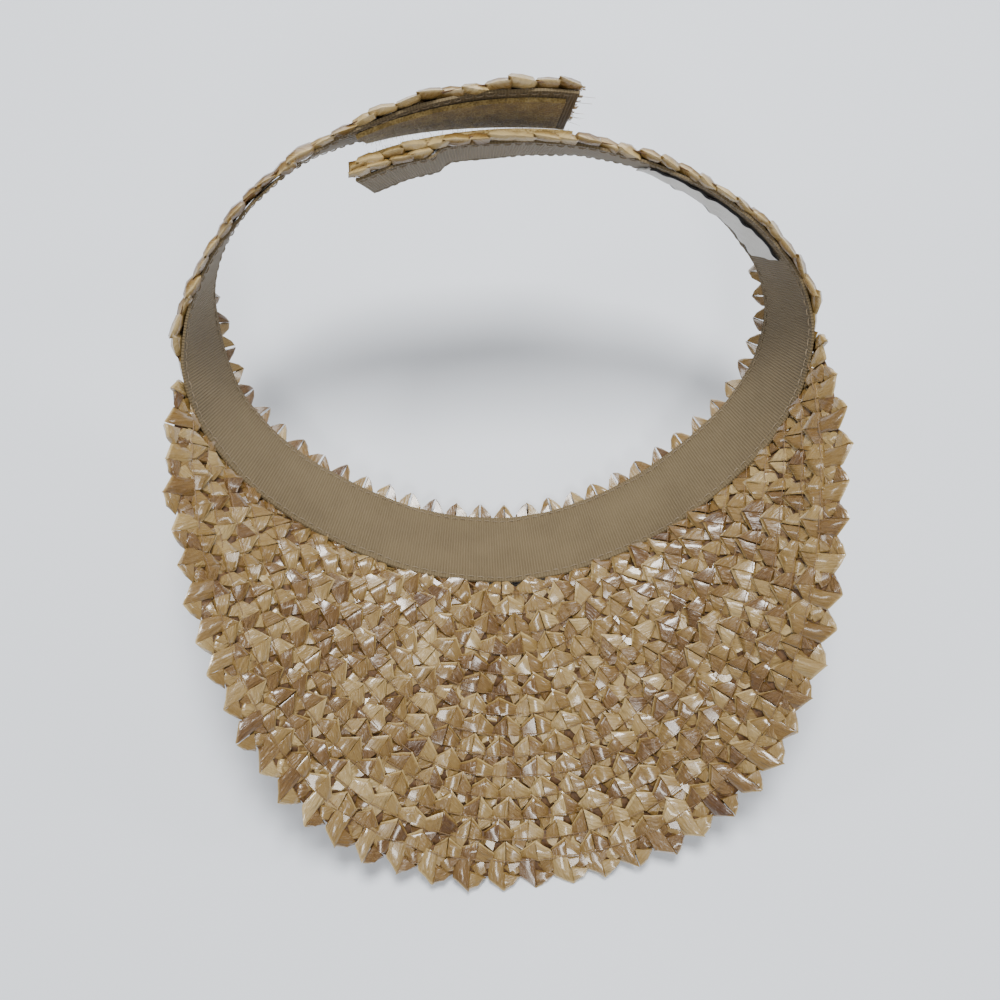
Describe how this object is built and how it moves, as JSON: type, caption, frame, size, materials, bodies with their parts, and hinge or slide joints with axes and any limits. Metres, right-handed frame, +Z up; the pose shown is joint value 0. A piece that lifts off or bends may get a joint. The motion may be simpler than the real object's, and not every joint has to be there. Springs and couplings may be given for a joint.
{
  "type": "straw visor",
  "caption": "Crownless sun visor of sewn straw plait with a curved zigzag-edged brim, a ribbon-lined headband and a hook-and-loop strap at the back.",
  "frame": {"origin": "centre of the bounding box's base, on the surface the visor lies on", "axes": "+Z up with the visor lying underside up, +Y from the brim's front edge to the strap at the back, +X to the right of the wearer's view of the brim"},
  "size_m": [0.2186, 0.2436, 0.1322],
  "materials": {
    "straw": "satin",
    "ribbon": "matte",
    "hook_and_loop": "matte",
    "label": "matte"
  },
  "bodies": {
    "root": {"brim": "straw", "headband": "straw", "sweatband_ribbon": "ribbon", "hook_tape": "hook_and_loop", "loop_tape": "hook_and_loop", "label": "label"}
  },
  "joints": []
}
